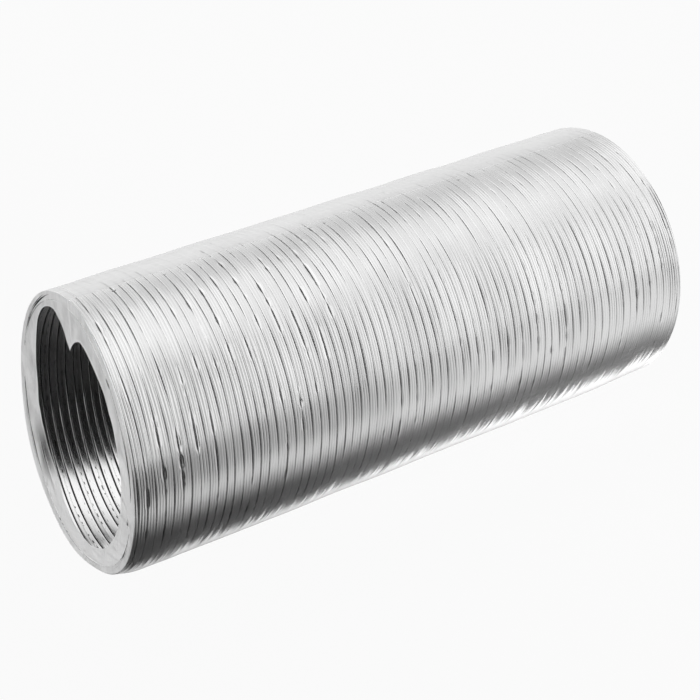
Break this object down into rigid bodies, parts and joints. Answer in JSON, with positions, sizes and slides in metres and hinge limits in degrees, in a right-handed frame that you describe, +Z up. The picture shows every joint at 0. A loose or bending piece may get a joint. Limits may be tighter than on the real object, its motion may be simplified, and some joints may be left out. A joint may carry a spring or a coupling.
{
  "type": "flexible air duct",
  "caption": "Semi-rigid corrugated aluminium air duct, pushed together, with clear film folded over its ends. It pulls out and bends.",
  "frame": {"origin": "on the plane that the duct rests on, below the middle of its axis", "axes": "+X along the duct's axis, from the near end to the far end; +Z up, so the duct lies on its side"},
  "size_m": [0.3186, 0.1356, 0.1348],
  "materials": {
    "strip": "bright rolled strip",
    "film": "clear shrink film"
  },
  "bodies": {
    "turn_01": {"turn_01": "strip", "film_end_near": "film"},
    "turn_02": {"turn_02": "strip"},
    "turn_03": {"turn_03": "strip"},
    "turn_04": {"turn_04": "strip"},
    "turn_05": {"turn_05": "strip"},
    "turn_06": {"turn_06": "strip"},
    "turn_07": {"turn_07": "strip"},
    "turn_08": {"turn_08": "strip"},
    "turn_09": {"turn_09": "strip"},
    "turn_10": {"turn_10": "strip"},
    "turn_11": {"turn_11": "strip"},
    "turn_12": {"turn_12": "strip"},
    "turn_13": {"turn_13": "strip"},
    "turn_14": {"turn_14": "strip"},
    "turn_15": {"turn_15": "strip"},
    "turn_16": {"turn_16": "strip"},
    "turn_17": {"turn_17": "strip"},
    "turn_18": {"turn_18": "strip"},
    "turn_19": {"turn_19": "strip"},
    "turn_20": {"turn_20": "strip"},
    "turn_21": {"turn_21": "strip"},
    "turn_22": {"turn_22": "strip"},
    "turn_23": {"turn_23": "strip"},
    "turn_24": {"turn_24": "strip"},
    "turn_25": {"turn_25": "strip"},
    "turn_26": {"turn_26": "strip"},
    "turn_27": {"turn_27": "strip"},
    "turn_28": {"turn_28": "strip"},
    "turn_29": {"turn_29": "strip"},
    "turn_30": {"turn_30": "strip"},
    "turn_31": {"turn_31": "strip"},
    "turn_32": {"turn_32": "strip"},
    "turn_33": {"turn_33": "strip"},
    "turn_34": {"turn_34": "strip"},
    "turn_35": {"turn_35": "strip", "film_end_far": "film"}
  },
  "joints": [
    {"name": "stretch", "type": "slide", "parent": "turn_18", "child": "turn_19", "axis": [1, 0, 0], "range_m": [0, 0.0255]},
    {"name": "stretch_19", "type": "slide", "parent": "turn_19", "child": "turn_20", "axis": [1, 0, 0], "range_m": [0, 0.0255]},
    {"name": "bend", "type": "hinge", "parent": "turn_20", "child": "turn_21", "pos_m": [0.02275, 0.0675, 0.067], "axis": [0, 0, 1], "range_deg": [0, 11.25]},
    {"name": "stretch_21", "type": "slide", "parent": "turn_21", "child": "turn_22", "axis": [1, 0, 0], "range_m": [0, 0.0255]},
    {"name": "stretch_22", "type": "slide", "parent": "turn_22", "child": "turn_23", "axis": [1, 0, 0], "range_m": [0, 0.0255]},
    {"name": "stretch_23", "type": "slide", "parent": "turn_23", "child": "turn_24", "axis": [1, 0, 0], "range_m": [0, 0.0255]},
    {"name": "bend_24", "type": "hinge", "parent": "turn_24", "child": "turn_25", "pos_m": [0.05915, 0.0675, 0.067], "axis": [0, 0, 1], "range_deg": [0, 11.25]},
    {"name": "stretch_25", "type": "slide", "parent": "turn_25", "child": "turn_26", "axis": [1, 0, 0], "range_m": [0, 0.0255]},
    {"name": "stretch_26", "type": "slide", "parent": "turn_26", "child": "turn_27", "axis": [1, 0, 0], "range_m": [0, 0.0255]},
    {"name": "stretch_27", "type": "slide", "parent": "turn_27", "child": "turn_28", "axis": [1, 0, 0], "range_m": [0, 0.0255]},
    {"name": "bend_28", "type": "hinge", "parent": "turn_28", "child": "turn_29", "pos_m": [0.09555, 0.0675, 0.067], "axis": [0, 0, 1], "range_deg": [0, 11.25]},
    {"name": "stretch_29", "type": "slide", "parent": "turn_29", "child": "turn_30", "axis": [1, 0, 0], "range_m": [0, 0.0255]},
    {"name": "stretch_30", "type": "slide", "parent": "turn_30", "child": "turn_31", "axis": [1, 0, 0], "range_m": [0, 0.0255]},
    {"name": "stretch_31", "type": "slide", "parent": "turn_31", "child": "turn_32", "axis": [1, 0, 0], "range_m": [0, 0.0255]},
    {"name": "bend_32", "type": "hinge", "parent": "turn_32", "child": "turn_33", "pos_m": [0.13195, 0.0675, 0.067], "axis": [0, 0, 1], "range_deg": [0, 11.25]},
    {"name": "stretch_33", "type": "slide", "parent": "turn_33", "child": "turn_34", "axis": [1, 0, 0], "range_m": [0, 0.0255]},
    {"name": "stretch_34", "type": "slide", "parent": "turn_34", "child": "turn_35", "axis": [1, 0, 0], "range_m": [0, 0.0255]},
    {"name": "stretch_17", "type": "slide", "parent": "turn_18", "child": "turn_17", "axis": [-1, 0, 0], "range_m": [0, 0.0255]},
    {"name": "stretch_16", "type": "slide", "parent": "turn_17", "child": "turn_16", "axis": [-1, 0, 0], "range_m": [0, 0.0255]},
    {"name": "bend_15", "type": "hinge", "parent": "turn_16", "child": "turn_15", "pos_m": [-0.02275, 0.0675, 0.067], "axis": [0, 0, -1], "range_deg": [0, 11.25]},
    {"name": "stretch_14", "type": "slide", "parent": "turn_15", "child": "turn_14", "axis": [-1, 0, 0], "range_m": [0, 0.0255]},
    {"name": "stretch_13", "type": "slide", "parent": "turn_14", "child": "turn_13", "axis": [-1, 0, 0], "range_m": [0, 0.0255]},
    {"name": "stretch_12", "type": "slide", "parent": "turn_13", "child": "turn_12", "axis": [-1, 0, 0], "range_m": [0, 0.0255]},
    {"name": "bend_11", "type": "hinge", "parent": "turn_12", "child": "turn_11", "pos_m": [-0.05915, 0.0675, 0.067], "axis": [0, 0, -1], "range_deg": [0, 11.25]},
    {"name": "stretch_10", "type": "slide", "parent": "turn_11", "child": "turn_10", "axis": [-1, 0, 0], "range_m": [0, 0.0255]},
    {"name": "stretch_09", "type": "slide", "parent": "turn_10", "child": "turn_09", "axis": [-1, 0, 0], "range_m": [0, 0.0255]},
    {"name": "stretch_08", "type": "slide", "parent": "turn_09", "child": "turn_08", "axis": [-1, 0, 0], "range_m": [0, 0.0255]},
    {"name": "bend_07", "type": "hinge", "parent": "turn_08", "child": "turn_07", "pos_m": [-0.09555, 0.0675, 0.067], "axis": [0, 0, -1], "range_deg": [0, 11.25]},
    {"name": "stretch_06", "type": "slide", "parent": "turn_07", "child": "turn_06", "axis": [-1, 0, 0], "range_m": [0, 0.0255]},
    {"name": "stretch_05", "type": "slide", "parent": "turn_06", "child": "turn_05", "axis": [-1, 0, 0], "range_m": [0, 0.0255]},
    {"name": "stretch_04", "type": "slide", "parent": "turn_05", "child": "turn_04", "axis": [-1, 0, 0], "range_m": [0, 0.0255]},
    {"name": "bend_03", "type": "hinge", "parent": "turn_04", "child": "turn_03", "pos_m": [-0.13195, 0.0675, 0.067], "axis": [0, 0, -1], "range_deg": [0, 11.25]},
    {"name": "stretch_02", "type": "slide", "parent": "turn_03", "child": "turn_02", "axis": [-1, 0, 0], "range_m": [0, 0.0255]},
    {"name": "stretch_01", "type": "slide", "parent": "turn_02", "child": "turn_01", "axis": [-1, 0, 0], "range_m": [0, 0.0255]}
  ],
  "couplings": [
    {"joint": "stretch_19", "follows": "stretch", "ratio": 1},
    {"joint": "stretch_21", "follows": "stretch", "ratio": 1},
    {"joint": "stretch_22", "follows": "stretch", "ratio": 1},
    {"joint": "stretch_23", "follows": "stretch", "ratio": 1},
    {"joint": "bend_24", "follows": "bend", "ratio": 1},
    {"joint": "stretch_25", "follows": "stretch", "ratio": 1},
    {"joint": "stretch_26", "follows": "stretch", "ratio": 1},
    {"joint": "stretch_27", "follows": "stretch", "ratio": 1},
    {"joint": "bend_28", "follows": "bend", "ratio": 1},
    {"joint": "stretch_29", "follows": "stretch", "ratio": 1},
    {"joint": "stretch_30", "follows": "stretch", "ratio": 1},
    {"joint": "stretch_31", "follows": "stretch", "ratio": 1},
    {"joint": "bend_32", "follows": "bend", "ratio": 1},
    {"joint": "stretch_33", "follows": "stretch", "ratio": 1},
    {"joint": "stretch_34", "follows": "stretch", "ratio": 1},
    {"joint": "stretch_17", "follows": "stretch", "ratio": 1},
    {"joint": "stretch_16", "follows": "stretch", "ratio": 1},
    {"joint": "bend_15", "follows": "bend", "ratio": 1},
    {"joint": "stretch_14", "follows": "stretch", "ratio": 1},
    {"joint": "stretch_13", "follows": "stretch", "ratio": 1},
    {"joint": "stretch_12", "follows": "stretch", "ratio": 1},
    {"joint": "bend_11", "follows": "bend", "ratio": 1},
    {"joint": "stretch_10", "follows": "stretch", "ratio": 1},
    {"joint": "stretch_09", "follows": "stretch", "ratio": 1},
    {"joint": "stretch_08", "follows": "stretch", "ratio": 1},
    {"joint": "bend_07", "follows": "bend", "ratio": 1},
    {"joint": "stretch_06", "follows": "stretch", "ratio": 1},
    {"joint": "stretch_05", "follows": "stretch", "ratio": 1},
    {"joint": "stretch_04", "follows": "stretch", "ratio": 1},
    {"joint": "bend_03", "follows": "bend", "ratio": 1},
    {"joint": "stretch_02", "follows": "stretch", "ratio": 1},
    {"joint": "stretch_01", "follows": "stretch", "ratio": 1}
  ]
}
